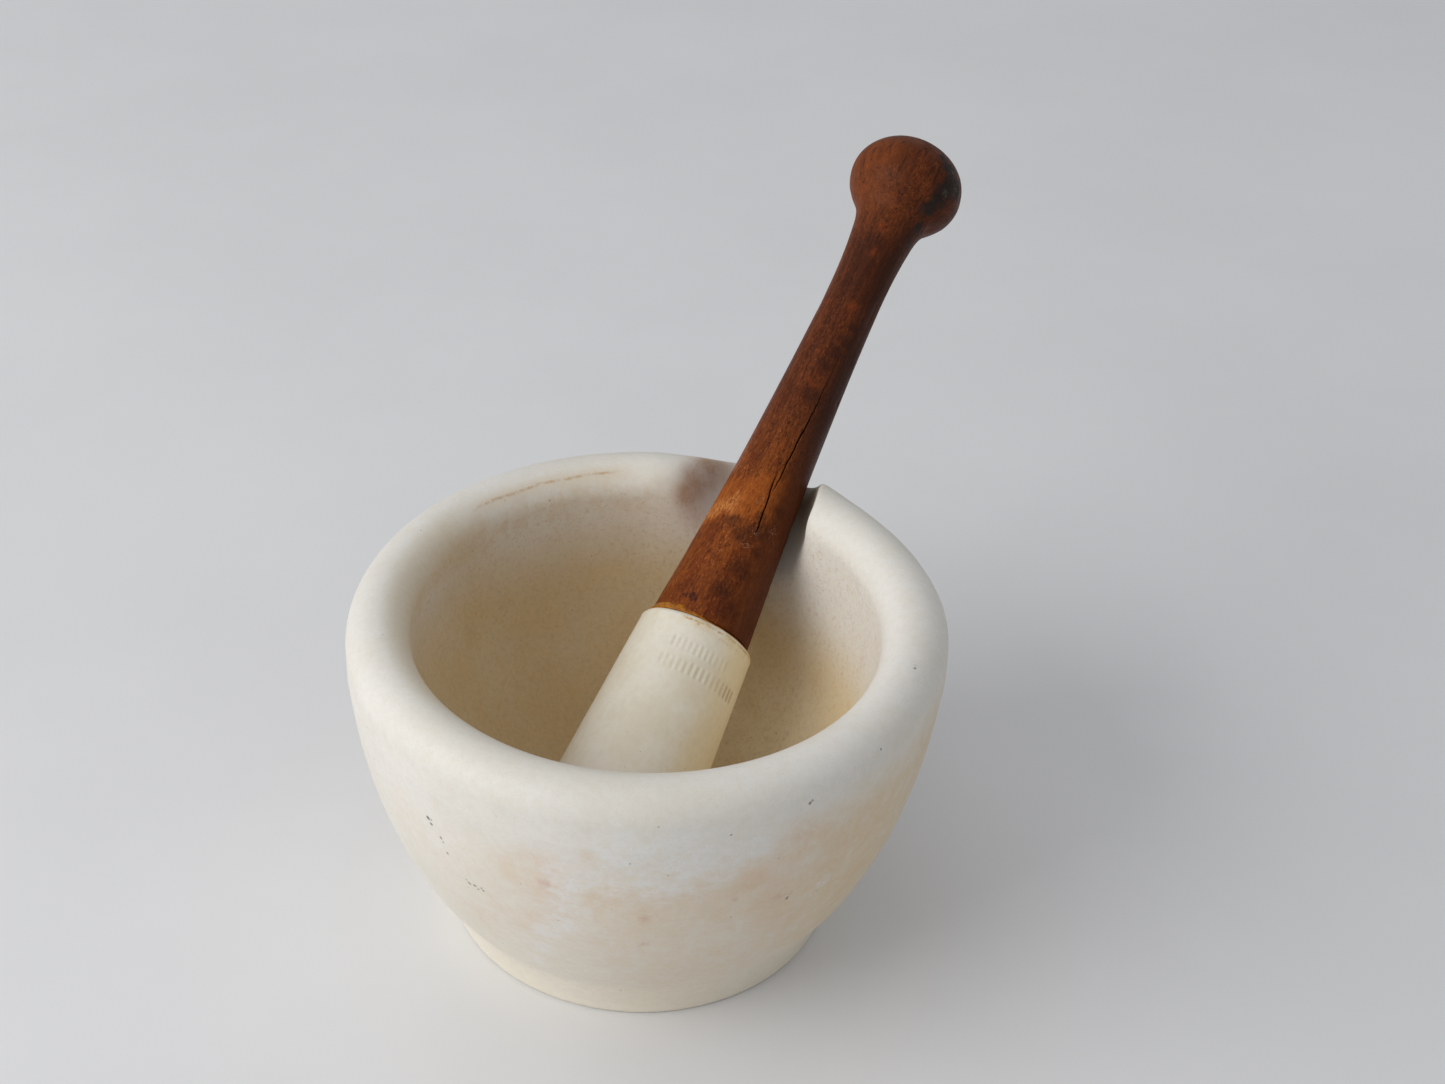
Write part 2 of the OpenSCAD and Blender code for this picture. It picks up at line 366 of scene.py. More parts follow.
def build_handle():
    prof = handle_profile()
    th = columns([(-180, -20, 3.2), (-20, 16, 2.0), (16, 50, 0.62), (50, 100, 2.0), (100, 180, 3.2)])
    S = prof[:, 1][:, None] + 0 * th[None, :]
    r0 = prof[:, 0][:, None] + 0 * th[None, :]
    # the fine columns follow the crack
    c1 = spline(CRACK_1, S)
    T = th[None, :] + (c1 - 37.5) * smooth(-abs(th[None, :] - 33), -60, -18)
    r = r0.copy()
    wood = smooth(S, 0.6, 2.0)
    # not quite round: turned and worn by hand
    r = r + wood * 0.07 * wobble(11, np.sin(T * RAD) * 1.5, np.cos(T * RAD) * 1.5, S / 15.0)
    knob = smooth(S, 113, 120)
    r = r + knob * (0.16 * wobble(17, np.sin(T * RAD) * 1.3, np.cos(T * RAD) * 1.3, S / 6.0)) * smooth(r0, 1.0, 6.0)
    # long shallow flutes left by wear along the grain
    r = r + wood * 0.035 * np.sin(T * RAD * 9 + 2.0 * np.sin(S / 23.0)) * smooth(-S, -112, -100)
    # crack: two strands that overlap near s = 38
    deep = np.zeros_like(r)
    for line, width, depth, s_a, s_b, tail in ((CRACK_1, 0.145, 0.95, 37.5, 70, 14), (CRACK_2, 0.13, 0.8, 25.5, 40, 3)):
        c = spline(line, S)
        jag = 0.06 * np.sin(S * 0.9) + 0.04 * np.sin(S * 2.3 + 1) + 0.02 * np.sin(S * 5.1)
        d = (T - c) * RAD * r0 + jag
        along = smooth(S, s_a - 2.5, s_a + 1.5) * smooth(-S, -(s_b + tail), -(s_b - 4))
        wd = width * (0.55 + 0.6 * along * smooth(-abs(S - (s_a + s_b) / 2), -22, 0)) * (1 - 0.38 * smooth(S, 46, 60))
        v = np.exp(-(d / wd) ** 2) * along
        deep = np.maximum(deep, v * depth / 0.95 * (1 - 0.55 * smooth(S, 52, 70)))
    r = r - deep * 0.9
    # small dents and nicks
    for s, t, w_s, w_t, dd in ((127.5, 96, 1.3, 7, 0.45), (129.5, 88, 0.9, 6, 0.35), (117.6, 98, 0.8, 7, 0.35), (3.4, -40, 2.2, 7, 0.22),
                               (21.5, 33, 0.9, 5, 0.14), (23.2, 40, 1.2, 4, 0.10), (19.8, 26, 0.8, 4, 0.10), (65, 88, 1.2, 6, 0.22),
                               (88, -70, 2.0, 6, 0.16), (133, 10, 1.2, 9, 0.20), (122, -60, 1.8, 9, 0.22), (52, -78, 2.5, 6, 0.14),
                               (12, 80, 1.6, 6, 0.15), (99, 150, 2, 8, 0.2), (60, -150, 3, 8, 0.15), (124, 170, 2, 9, 0.3)):
        dt = (T - t + 180) % 360 - 180
        r = r - dd * np.exp(-((S - s) / w_s) ** 2 - (dt / w_t) ** 2)
    r = np.clip(r, 0, None)
    world, local = on_pestle(S, T, r)
    V = grid_to_verts(world, True, True)
    Lc = grid_to_verts(local, True, True)
    D = grid_to_verts(deep[..., None], True, True)[:, 0]
    return V, lathe_faces(*S.shape, True, True), Lc, D


def stamp_marks():
    """Two rows of plain impressed ticks (s, angle, half length along s, half width in degrees)."""
    out = []
    for k in range(11):
        out.append((-7.4, 3 + 5.7 * k, 1.0, 1.25))
    for k in range(15):
        out.append((-12.2, -1 + 6.0 * k, 1.15, 1.4))
    return out


def build_head():
    n = 46
    ball = arc(0, 0, HEAD_R, -90, 3.8, n)
    ball = np.stack([ball[:, 0], ball[:, 1] - HEAD_L], 1)
    s_t = np.r_[np.arange(-41.5, -16.5, 1.1), np.arange(-16.5, -4.2, 0.22), np.arange(-4.2, -1.5, 0.45)]
    taper = np.stack([13.45 + (-1.5 - s_t) * 0.0665, s_t], 1)
    shoulder = arc(13.45 - 1.3, -1.4, 1.35, 2, 88, 9)
    face = np.array([[11.4, -0.02], [10.5, 0.0], [9.6, 0.0], [9.28, -0.1], [9.2, -0.4], [9.2, -6], [9.2, -14], [9.2, -24], [9.0, -24.7],
                     [8.4, -25], [4, -25], [0, -25]])
    prof = np.concatenate([ball, taper, shoulder, face])
    th = columns([(-180, -8, 3.0), (-8, 96, 0.62), (96, 180, 3.0)])
    S = prof[:, 1][:, None] + 0 * th[None, :]
    r0 = prof[:, 0][:, None] + 0 * th[None, :]
    row = np.arange(len(prof))[:, None]
    outer = (row < len(ball) + len(taper) + len(shoulder)).astype(float)
    r = r0.copy()
    rr = smooth(S, -58, -46)
    r = r + outer * rr * 0.05 * wobble(23, np.sin(th[None, :] * RAD) * 1.4 + 0 * S, np.cos(th[None, :] * RAD) * 1.4 + 0 * S, S / 13.0)
    # chipped, slightly uneven edge where wood meets stoneware
    edge = smooth(S, -1.6, -0.4) * outer
    r = r - edge * 0.10 * (1 + wobble(29, np.sin(th[None, :] * RAD) * 4 + 0 * S, np.cos(th[None, :] * RAD) * 4 + 0 * S))
    mark = np.zeros_like(r)
    for s, t, hs, ht in stamp_marks():
        d = np.maximum(abs(S - s) - hs, 0) ** 2 / 0.40 ** 2 + (np.maximum(abs(th[None, :] - t) - ht * 0.35, 0) / 1.15) ** 2
        mark = np.maximum(mark, np.exp(-d))
    # the marks are shallower at the ends of each row
    worn = 0.55 + 0.45 * wobble(31, th[None, :] / 14.0 + 0 * S, S / 5.0)
    mark = mark * np.clip(worn, 0.25, 1.0) * outer
    r = r - 0.26 * mark
    r = np.clip(r, 0, None)
    world, local = on_pestle(S, th[None, :] + 0 * S, r)
    V = grid_to_verts(world, True, True)
    return (V, lathe_faces(*S.shape, True, True), grid_to_verts(local, True, True), grid_to_verts(mark[..., None], True, True)[:, 0])


def build_cement():
    th = columns([(-180, 180, 2.0)])
    prof = np.array([[0, -24.97], [4, -24.97], [8.35, -24.97], [8.95, -24.68], [9.17, -24], [9.17, -14], [9.17, -6], [9.17, -0.4], [9.25, -0.06],
                     [9.6, 0.03], [10.6, 0.03], [11.6, 0.03], [12.2, 0.02], [12.55, 0.06], [12.62, 0.25], [12.5, 0.55], [12.25, 0.9], [12.02, 1.3],
                     [11.9, 1.6], [11.82, 1.72], [11.76, 1.5], [11.7, 0.9], [11.4, 0.5], [10.8, 0.45], [9.6, 0.45], [8.7, 0.45], [8.44, 0.2],
                     [8.42, -3], [8.42, -10], [8.42, -18], [8.42, -23.2], [8.2, -23.75], [7.6, -24.04], [3, -24.04], [0, -24.04]])
    S = prof[:, 1][:, None] + 0 * th[None, :]
    r = prof[:, 0][:, None] + 0 * th[None, :]
    t = th[None, :] + 0 * S
    # the bead is fuller on the left and front, and thins to nothing at the right
    full = 0.16 + 0.84 * smooth(-abs(((t + 56 + 180) % 360) - 180), -88, -34)
    lump = full * (1 + 0.35 * wobble(41, np.sin(t * RAD) * 5, np.cos(t * RAD) * 5))
    bead = (np.arange(len(prof)) >= 12)[:, None] & (np.arange(len(prof)) <= 21)[:, None]
    S = np.where(bead, 0.03 + (S - 0.03) * np.clip(lump, 0.14, 1.2), S)
    r = np.where(bead, 11.7 + (r - 11.7) * np.clip(lump + 0.15, 0.3, 1.0), r)
    world, local = on_pestle(S, t, r)
    return grid_to_verts(world, True, True), lathe_faces(*S.shape, True, True), grid_to_verts(local, True, True)


# ---------------------------------------------------------------- node materials
class Nodes:
    def __init__(self, name):
        self.mat = bpy.data.materials.new(name)
        self.mat.use_nodes = True
        self.nt = self.mat.node_tree
        self.nt.nodes.clear()
        self.out = self.nt.nodes.new("ShaderNodeOutputMaterial")
        self.bsdf = self.nt.nodes.new("ShaderNodeBsdfPrincipled")
        self.nt.links.new(self.bsdf.outputs[0], self.out.inputs[0])

    def new(self, kind, **props):
        n = self.nt.nodes.new(kind)
        for k, v in props.items():
            setattr(n, k, v)
        return n

    def put(self, socket, value):
        if value is None:
            return
        if isinstance(value, bpy.types.NodeSocket):
            self.nt.links.new(value, socket)
        elif isinstance(value, (tuple, list)) and len(value) == 3 and socket.type == "RGBA":
            socket.default_value = (*value, 1)
        else:
            socket.default_value = value

    def math(self, op, a, b=None, c=None, clamp=False):
        n = self.new("ShaderNodeMath", operation=op, use_clamp=clamp)
        for s, v in zip(n.inputs, (a, b, c)):
            self.put(s, v)
        return n.outputs[0]

    def vmath(self, op, a, b=None, scale=None):
        n = self.new("ShaderNodeVectorMath", operation=op)
        self.put(n.inputs[0], a)
        self.put(n.inputs[1], b)
        if scale is not None:
            self.put(n.inputs["Scale"], scale)
        return n.outputs["Value"] if op in ("LENGTH", "DISTANCE", "DOT_PRODUCT") else n.outputs["Vector"]

    def attr(self, name, out="Vector"):
        n = self.new("ShaderNodeAttribute", attribute_name=name)
        return n.outputs[out]

    def split(self, v):
        n = self.new("ShaderNodeSeparateXYZ")
        self.put(n.inputs[0], v)
        return n.outputs

    def join(self, x, y, z):
        n = self.new("ShaderNodeCombineXYZ")
        for s, v in zip(n.inputs, (x, y, z)):
            self.put(s, v)
        return n.outputs[0]

    def noise(self, v, scale, detail=3.0, rough=0.5, distort=0.0, out="Fac"):
        n = self.new("ShaderNodeTexNoise", noise_dimensions="3D")
        self.put(n.inputs["Vector"], v)
        n.inputs["Scale"].default_value = scale
        n.inputs["Detail"].default_value = detail
        n.inputs["Roughness"].default_value = rough
        n.inputs["Distortion"].default_value = distort
        return n.outputs[out]

    def cells(self, v, scale, feature="F1", out="Distance"):
        n = self.new("ShaderNodeTexVoronoi", feature=feature)
        self.put(n.inputs["Vector"], v)
        n.inputs["Scale"].default_value = scale
        return n.outputs[out]

    def ramp(self, x, a, b, lo=0.0, hi=1.0, kind="SMOOTHSTEP"):
        n = self.new("ShaderNodeMapRange", interpolation_type=kind, clamp=True) if kind == "LINEAR" else self.new("ShaderNodeMapRange", interpolation_type=kind)
        for key, v in (("Value", x), ("From Min", a), ("From Max", b), ("To Min", lo), ("To Max", hi)):
            self.put(n.inputs[key], v)
        return n.outputs[0]

    def mix(self, fac, a, b, kind="MIX"):
        n = self.new("ShaderNodeMix", data_type="RGBA", blend_type=kind)
        self.put(n.inputs[0], fac)
        self.put(n.inputs[6], a)
        self.put(n.inputs[7], b)
        return n.outputs[2]

    def bump(self, height, strength, distance, normal=None):
        n = self.new("ShaderNodeBump")
        n.inputs["Strength"].default_value = strength
        n.inputs["Distance"].default_value = distance
        self.put(n.inputs["Height"], height)
        self.put(n.inputs["Normal"], normal)
        return n.outputs[0]

    def spot(self, v, centre, radius, soft):
        d = self.vmath("DISTANCE", v, tuple(centre))
        return self.ramp(d, radius, radius + soft, 1.0, 0.0)

    def band(self, x, a, b, fade):
        return self.math("MULTIPLY", self.ramp(x, a - fade, a), self.ramp(x, b, b + fade, 1.0, 0.0))

    def total(self, items):
        s = items[0]
        for i in items[1:]:
            s = self.math("MAXIMUM", s, i)
        return s

    def times(self, *items):
        s = items[0]
        for i in items[1:]:
            s = self.math("MULTIPLY", s, i)
        return s


def srgb(r, g, b):
    def f(c):
        c /= 255
        return c / 12.92 if c <= 0.04045 else ((c + 0.055) / 1.055) ** 2.4
    return (f(r), f(g), f(b))


def at(az, r, z):
    return (r * math.sin(az * RAD), r * math.cos(az * RAD), z)


def mortar_material():
    m = Nodes("biscuit_stoneware")
    p = m.attr("place")
    x, y, z = m.split(p)[0:3]
    r = m.vmath("LENGTH", m.join(x, y, 0.0))
    az = m.math("MULTIPLY", m.math("ARCTAN2", x, y), 57.29578)
    big = m.noise(p, 0.022, 3, 0.55)
    mid = m.noise(p, 0.075, 4, 0.6)
    fine = m.noise(p, 0.55, 4, 0.65)
    grain = m.noise(p, 3.2, 3, 0.7)
    body = m.mix(m.ramp(big, 0.35, 0.65), srgb(234, 231, 225), srgb(229, 225, 215))
    body = m.mix(m.times(m.ramp(mid, 0.45, 0.75), 0.3), body, srgb(224, 216, 200))
    # inside and outside masks
    inside = m.attr("inside", "Fac")
    out_side = m.math("SUBTRACT", 1.0, inside)
    # azimuth measured from the front towards the right
    turn = m.math("SUBTRACT", 180.0, az)
    turn = m.math("SUBTRACT", m.math("MODULO", m.math("ADD", turn, 180.0), 360.0), 180.0)
    # throwing lines: fine level streaks
    level = m.noise(m.vmath("MULTIPLY", p, (0.035, 0.035, 1.1)), 1.0, 4, 0.65)
    wash = m.times(out_side, m.band(z, 4, 52, 18), m.math("MINIMUM", m.ramp(turn, -54, 10, 0.12, 0.75), m.ramp(turn, 172, 104, 0.12, 0.75)),
                   m.ramp(m.noise(p, 0.03, 4, 0.6), 0.3, 0.6, 0.55, 1.0))
    wash = m.math("MAXIMUM", wash, m.times(out_side, m.band(z, 26, 56, 18), m.band(turn, 28, 100, 20), m.ramp(m.noise(p, 0.06, 5, 0.65), 0.3, 0.6, 0.7, 1.0)))
    mottle = m.noise(p, 0.30, 6, 0.72, 0.3)
    body = m.mix(m.times(wash, m.ramp(level, 0.3, 0.65, 0.85, 1.0), m.ramp(mottle, 0.34, 0.6, 0.62, 1.0), 0.88), body, srgb(225, 204, 174))
    # peach patches in the tan
    patch = m.ramp(m.noise(p, 0.075, 5, 0.66, 0.6), 0.46, 0.66)
    body = m.mix(m.times(out_side, m.band(z, 34, 60, 8), m.ramp(turn, -45, -15, 0.3, 0.8), patch, 0.34), body, srgb(224, 190, 160))
    rosy = m.total([m.spot(p, at(a, rr, zz), rad, soft) for a, rr, zz, rad, soft in (
        (-163.9, 63.3, 59.5, 0.5, 7), (-164.5, 62.5, 53.5, 0.5, 5), (-172.6, 63.7, 64.3, 0.2, 3.5), (-175.2, 62.3, 51.9, 0.5, 5), (176, 61.5, 48, 0.5, 5),
        (148.2, 63.6, 63.0, 2, 8), (142, 61, 50, 2, 8), (152, 61, 46, 1, 6), (130.6, 62.8, 57, 3, 9), (156.5, 62.7, 54.9, 1, 6))])
    body = m.mix(m.times(rosy, m.ramp(m.noise(p, 0.34, 6, 0.75, 0.6), 0.32, 0.62), 0.42), body, srgb(222, 186, 150))
    amber = m.times(out_side, m.band(turn, 50, 108, 22), m.band(z, 24, 63, 15), m.ramp(mottle, 0.3, 0.62, 0.45, 1.0), m.ramp(m.noise(p, 0.05, 4, 0.6), 0.3, 0.62, 0.6, 1.0))
    body = m.mix(m.times(amber, 0.46), body, srgb(221, 193, 142))
    low_rim = m.times(out_side, m.ramp(z, 26, 3))
    body = m.mix(m.times(low_rim, 0.66), body, srgb(247, 239, 221))
    stripe = m.ramp(level, 0.52, 0.72)
    body = m.mix(m.times(out_side, stripe, m.band(z, 5, 50, 8), 0.09), body, srgb(206, 184, 152))
    # chalky white bloom across the front
    chalk = m.total([m.spot(p, at(a, rr, zz), rad, soft) for a, rr, zz, rad, soft in (
        (-160, 55.8, 29, 1, 4.5), (-163, 58, 36, 1.2, 4.5), (-166.5, 59.8, 42, 1.8, 4.5), (-168.6, 61.5, 48, 2.2, 4.5), (-167.8, 62.5, 54, 2.5, 4), (-167, 63, 58.5, 1, 4),
        (-172, 63.3, 59.5, 2.5, 5), (-178, 63.2, 58.5, 3, 6), (175, 63.1, 58, 3, 7), (169, 63.2, 59, 3, 7), (163, 63.5, 62, 2, 7), (157, 63.7, 65, 1, 6),
        (180, 63.8, 65, 3, 8), (170, 63.8, 66, 3, 8), (140, 61, 45.5, 0.2, 3), (-157.7, 52.6, 21, 0.2, 4))])
    chalk = m.times(chalk, m.ramp(m.noise(m.vmath("MULTIPLY", p, (1.0, 1.0, 1.5)), 0.20, 8, 0.80, 0.2), 0.38, 0.60))
    body = m.mix(m.times(chalk, 0.70), body, srgb(235, 235, 234))
    freckle = m.noise(p, 0.95, 6, 0.82)
    # inside: warm tan wash, deeper in the bowl
    right_back = m.times(m.band(az, 34, 120, 16), m.ramp(z, 40, 60))
    deep = m.times(inside, m.ramp(z, 71, 51, 0.06, 1.0), m.math("SUBTRACT", 1.0, m.math("MULTIPLY", right_back, 0.9)))
    body = m.mix(m.times(deep, m.ramp(mid, 0.25, 0.75, 0.75, 1.0)), body, srgb(227, 203, 157))
    left_tan = m.times(inside, m.band(az, -125, -5, 20), m.band(z, 30, 70, 9))
    body = m.mix(m.times(left_tan, m.ramp(m.noise(p, 0.05, 5, 0.65), 0.3, 0.65, 0.3, 1.0), 0.35), body, srgb(214, 178, 116))
    scuff = m.times(inside, m.ramp(m.noise(p, 0.11, 5, 0.7, 0.8), 0.56, 0.72), m.ramp(z, 77, 66))
    body = m.mix(m.times(scuff, 0.28), body, srgb(201, 162, 110))
    # pale scuffs low on the right of the bowl
    bare = m.times(inside, m.spot(p, at(52, 35, 27), 6, 13), m.ramp(m.noise(p, 0.22, 6, 0.75, 0.4), 0.32, 0.56))
    body = m.mix(m.times(bare, 0.82), body, srgb(240, 226, 194))
    body = m.mix(m.times(inside, m.ramp(z, 40, 20), m.band(az, -150, 10, 22), 0.5), body, srgb(216, 184, 126))
    # painted light: a paler band high inside the back of the bowl
    painted_back_light = m.times(inside, m.band(az, -40, 12, 20), m.band(z, 64, 76, 13))
    body = m.mix(m.times(painted_back_light, 0.30), body, srgb(247, 240, 226))
    body = m.mix(m.times(inside, right_back, 0.3), body, srgb(251, 248, 242))
    body = m.mix(m.times(inside, m.band(az, -125, -62, 16), m.ramp(z, 66, 72), m.ramp(freckle, 0.3, 0.6, 0.5, 1.0), 0.5), body, srgb(222, 202, 164))
    # grainy tan freckling over the inside, thickest below the rim on the left
    body = m.mix(m.times(inside, m.ramp(freckle, 0.50, 0.66), m.ramp(z, 78, 70), 0.44), body, srgb(196, 160, 108))
    body = m.mix(m.times(inside, m.ramp(freckle, 0.47, 0.32), m.ramp(z, 78, 70), 0.32), body, srgb(240, 227, 200))
    high_tan = m.times(inside, m.band(az, -64, -8, 14), m.band(z, 69.5, 74.5, 3.5), m.ramp(m.noise(p, 0.24, 6, 0.75, 0.5), 0.42, 0.62))
    body = m.mix(m.times(high_tan, 0.30), body, srgb(216, 182, 130))
    # a thin tan rubbed line inside the back of the rim
    ring = m.math("ABSOLUTE", m.math("SUBTRACT", r, m.math("ADD", 53.0, m.math("MULTIPLY", m.math("SUBTRACT", m.noise(p, 0.1, 2), 0.5), 1.5))))
    line = m.times(m.ramp(ring, 0.0, 0.5, 1.0, 0.0), m.band(az, -46, -14, 6), m.ramp(z, 76.0, 76.8), m.ramp(m.noise(p, 0.7, 5, 0.75), 0.36, 0.62))
    halo = m.times(m.ramp(ring, 0.3, 2.2, 1.0, 0.0), m.band(az, -46, -12, 8), m.ramp(z, 75.0, 76.5))
    body = m.mix(m.times(halo, 0.28), body, srgb(214, 184, 140))
    body = m.mix(m.times(line, 0.78), body, srgb(192, 152, 98))
    # painted shade with a painted warm bounce of light from the wooden handle, brownish, on the left flank of the spout
    flank = m.times(m.total([m.spot(p, at(11.5, 60.5, 75), 2, 7), m.spot(p, at(9.5, 57, 74), 1.5, 6), m.spot(p, at(7, 53.5, 72), 0.8, 4.5)]),
                    m.ramp(m.noise(p, 0.2, 5, 0.7), 0.3, 0.62, 0.35, 1.0))
    body = m.mix(m.times(flank, 0.66), body, srgb(180, 130, 72))
    # pinkish iron spots and dark specks in the clay
    jig2 = m.vmath("ADD", p, m.vmath("SCALE", m.noise(p, 0.5, 3, out="Color"), None, 2.4))
    pink = m.total([m.spot(jig2, tuple(c + 1.2 for c in at(a, rr, zz)), rad, soft) for a, rr, zz, rad, soft in (
        (177, 61.1, 46.4, 0.3, 1.8), (176.8, 58.8, 36.9, 0.3, 1.5), (-164.4, 62.6, 54, 0.3, 1.9), (160, 62, 50, 0.1, 1.2),
        (151, 61, 47, 0.2, 1.3), (-60, 62.5, 55, 0.3, 1.4), (95, 61, 46, 0.3, 1.2))])
    body = m.mix(m.times(pink, 0.42), body, srgb(202, 154, 134))
    # painted shadow: the handle's shadow and the shade in the narrow groove beside it, painted dark brown, darkest next
    # to the handle
    groove = m.attr("channel_shade", "Fac")
    body = m.mix(m.times(m.math("POWER", groove, 1.5), m.ramp(mid, 0.2, 0.8, 0.85, 1.0), 0.96), body, srgb(128, 96, 66))
    jig = m.vmath("ADD", p, m.vmath("SCALE", m.noise(p, 1.6, 3, out="Color"), None, 0.9))
    off = 0.45
    specks = m.total([m.spot(jig, tuple(c + off for c in at(a, rr, zz)), rad, 0.28) for a, rr, zz, rad in (
        (-139.2, 63.2, 58.6, 0.36), (-139.9, 63.1, 57.4, 0.26), (-140.1, 63.1, 58.8, 0.16), (-142.0, 62.7, 54.8, 0.30), (-142.5, 62.6, 53.9, 0.14),
        (-143.1, 62.2, 51.0, 0.18), (-146.6, 60.7, 45.0, 0.22), (-147.2, 60.6, 44.1, 0.26), (-148.6, 60.7, 44.4, 0.24), (-149.2, 60.6, 43.6, 0.14),
        (-150.1, 60.7, 44.6, 0.22), (-150.5, 60.6, 43.9, 0.12), (146.9, 64.0, 72.5, 0.28), (146.4, 64.0, 72.9, 0.16), (148.5, 60.9, 45.2, 0.34),
        (148.1, 61.1, 46.3, 0.16), (147.8, 61.3, 47.0, 0.10), (140.2, 60.7, 44.8, 0.16), (162.0, 64.0, 69.7, 0.12), (129.1, 63.2, 75.6, 0.12),
        (107.0, 59.0, 78.8, 0.16), (106.2, 59.0, 78.7, 0.1), (-25, 63, 57, 0.4), (60, 62, 50, 0.35), (-95, 61, 47, 0.3))])
    tiny = m.math("LESS_THAN", m.cells(p, 0.16), 0.035)
    speck = m.math("MAXIMUM", specks, m.math("MULTIPLY", tiny, 0.5))
    body = m.mix(m.times(speck, m.ramp(m.noise(p, 1.1, 3, 0.6), 0.3, 0.6, 0.55, 0.9)), body, srgb(96, 84, 78))
    # very fine mottling
    peppered = m.noise(p, 1.5, 5, 0.8)
    body = m.mix(m.ramp(grain, 0.3, 0.7, 0.0, 0.12), body, srgb(196, 184, 162))
    body = m.mix(m.ramp(fine, 0.35, 0.7, 0.0, 0.14), body, srgb(205, 191, 164))
    body = m.mix(m.ramp(peppered, 0.56, 0.72, 0.0, 0.26), body, srgb(190, 170, 142))
    body = m.mix(m.ramp(peppered, 0.44, 0.30, 0.0, 0.22), body, srgb(242, 240, 234))
    m.put(m.bsdf.inputs["Base Color"], body)
    rough = m.ramp(m.math("ADD", m.math("MULTIPLY", mid, 0.5), m.math("MULTIPLY", fine, 0.5)), 0.3, 0.7, 0.46, 0.64)
    m.put(m.bsdf.inputs["Roughness"], rough)
    m.bsdf.inputs["IOR"].default_value = 1.45
    n1 = m.bump(m.noise(p, 0.10, 2, 0.5), 0.25, 0.0006)
    n2 = m.bump(fine, 0.18, 0.00025, n1)
    n3 = m.bump(grain, 0.20, 0.00008, n2)
    n4 = m.bump(speck, 0.5, 0.0001, n3)
    m.put(m.bsdf.inputs["Normal"], n4)
    return m.mat


def head_material():
    m = Nodes("head_stoneware_worn")
    p = m.attr("place")
    a, b, s = m.split(p)[0:3]
    th = m.math("MULTIPLY", m.math("ARCTAN2", a, b), 57.29578)
    mid = m.noise(p, 0.09, 4, 0.6)
    fine = m.noise(p, 0.7, 4, 0.65)
    grain = m.noise(p, 3.5, 3, 0.7)
    body = m.mix(m.ramp(mid, 0.35, 0.7), srgb(237, 231, 216), srgb(230, 221, 200))
    # used end: duller and yellower towards the rounded bottom
    body = m.mix(m.times(m.ramp(s, -18, -48), 0.5), body, srgb(228, 220, 207))
    body = m.mix(m.times(m.band(th, 66, 140, 30), m.ramp(s, 0, -20, 0.9, 0.6), 0.56), body, srgb(246, 226, 172))
    # amber resin drawn along the shoulder in a thin broken line
    drift = m.math("MULTIPLY", m.math("SUBTRACT", m.noise(p, 0.35, 3), 0.5), 0.9)
    ring = m.math("ABSOLUTE", m.math("SUBTRACT", s, m.math("ADD", -1.25, drift)))
    line = m.times(m.ramp(ring, 0.0, 0.46, 1.0, 0.0), m.band(th, 6, 88, 8), m.ramp(m.noise(p, 0.9, 4, 0.75), 0.38, 0.60))
    drift2 = m.math("MULTIPLY", m.math("SUBTRACT", m.noise(p, 0.22, 3), 0.5), 1.4)
    ring2 = m.math("ABSOLUTE", m.math("SUBTRACT", s, m.math("ADD", -2.6, drift2)))
    line2 = m.times(m.ramp(ring2, 0.0, 0.5, 1.0, 0.0), m.band(th, 12, 70, 8), m.ramp(m.noise(p, 1.1, 4, 0.75), 0.46, 0.64))
    line = m.math("MAXIMUM", line, m.math("MULTIPLY", line2, 0.5))
    wash = m.times(m.ramp(s, -4.0, -0.6), m.ramp(m.noise(p, 0.25, 3), 0.42, 0.62))
    body = m.mix(m.times(wash, m.ramp(th, -30, 40, 0.15, 0.5)), body, srgb(216, 182, 118))
    body = m.mix(m.times(line, 0.85), body, srgb(190, 138, 58))
    blot = m.spot(m.vmath("ADD", p, m.vmath("SCALE", m.noise(p, 1.6, 3, out="Color"), None, 0.5)),
                  (13.45 * math.sin(17 * RAD) + 0.25, 13.45 * math.cos(17 * RAD) + 0.25, -1.45), 0.1, 0.55)
    body = m.mix(m.times(blot, 0.6), body, srgb(200, 150, 72))
    mark = m.attr("mark", "Fac")
    body = m.mix(m.times(mark, m.ramp(th, 35, 80, 0.30, 0.75)), body, m.mix(m.ramp(th, 40, 80), srgb(198, 180, 142), srgb(170, 128, 82)))
    tiny = m.math("LESS_THAN", m.cells(p, 0.22), 0.03)
    body = m.mix(m.times(tiny, 0.5), body, srgb(128, 112, 94))
    body = m.mix(m.ramp(fine, 0.35, 0.7, 0.0, 0.16), body, srgb(206, 190, 156))
    m.put(m.bsdf.inputs["Base Color"], body)
    m.put(m.bsdf.inputs["Roughness"], m.ramp(m.math("ADD", m.math("MULTIPLY", mid, 0.6), m.math("MULTIPLY", fine, 0.4)), 0.3, 0.7, 0.42, 0.60))
    m.bsdf.inputs["IOR"].default_value = 1.45
    n1 = m.bump(m.noise(p, 0.14, 2, 0.5), 0.25, 0.0005)
    n2 = m.bump(fine, 0.18, 0.0002, n1)
    n3 = m.bump(grain, 0.2, 0.00008, n2)
    m.put(m.bsdf.inputs["Normal"], n3)
    return m.mat


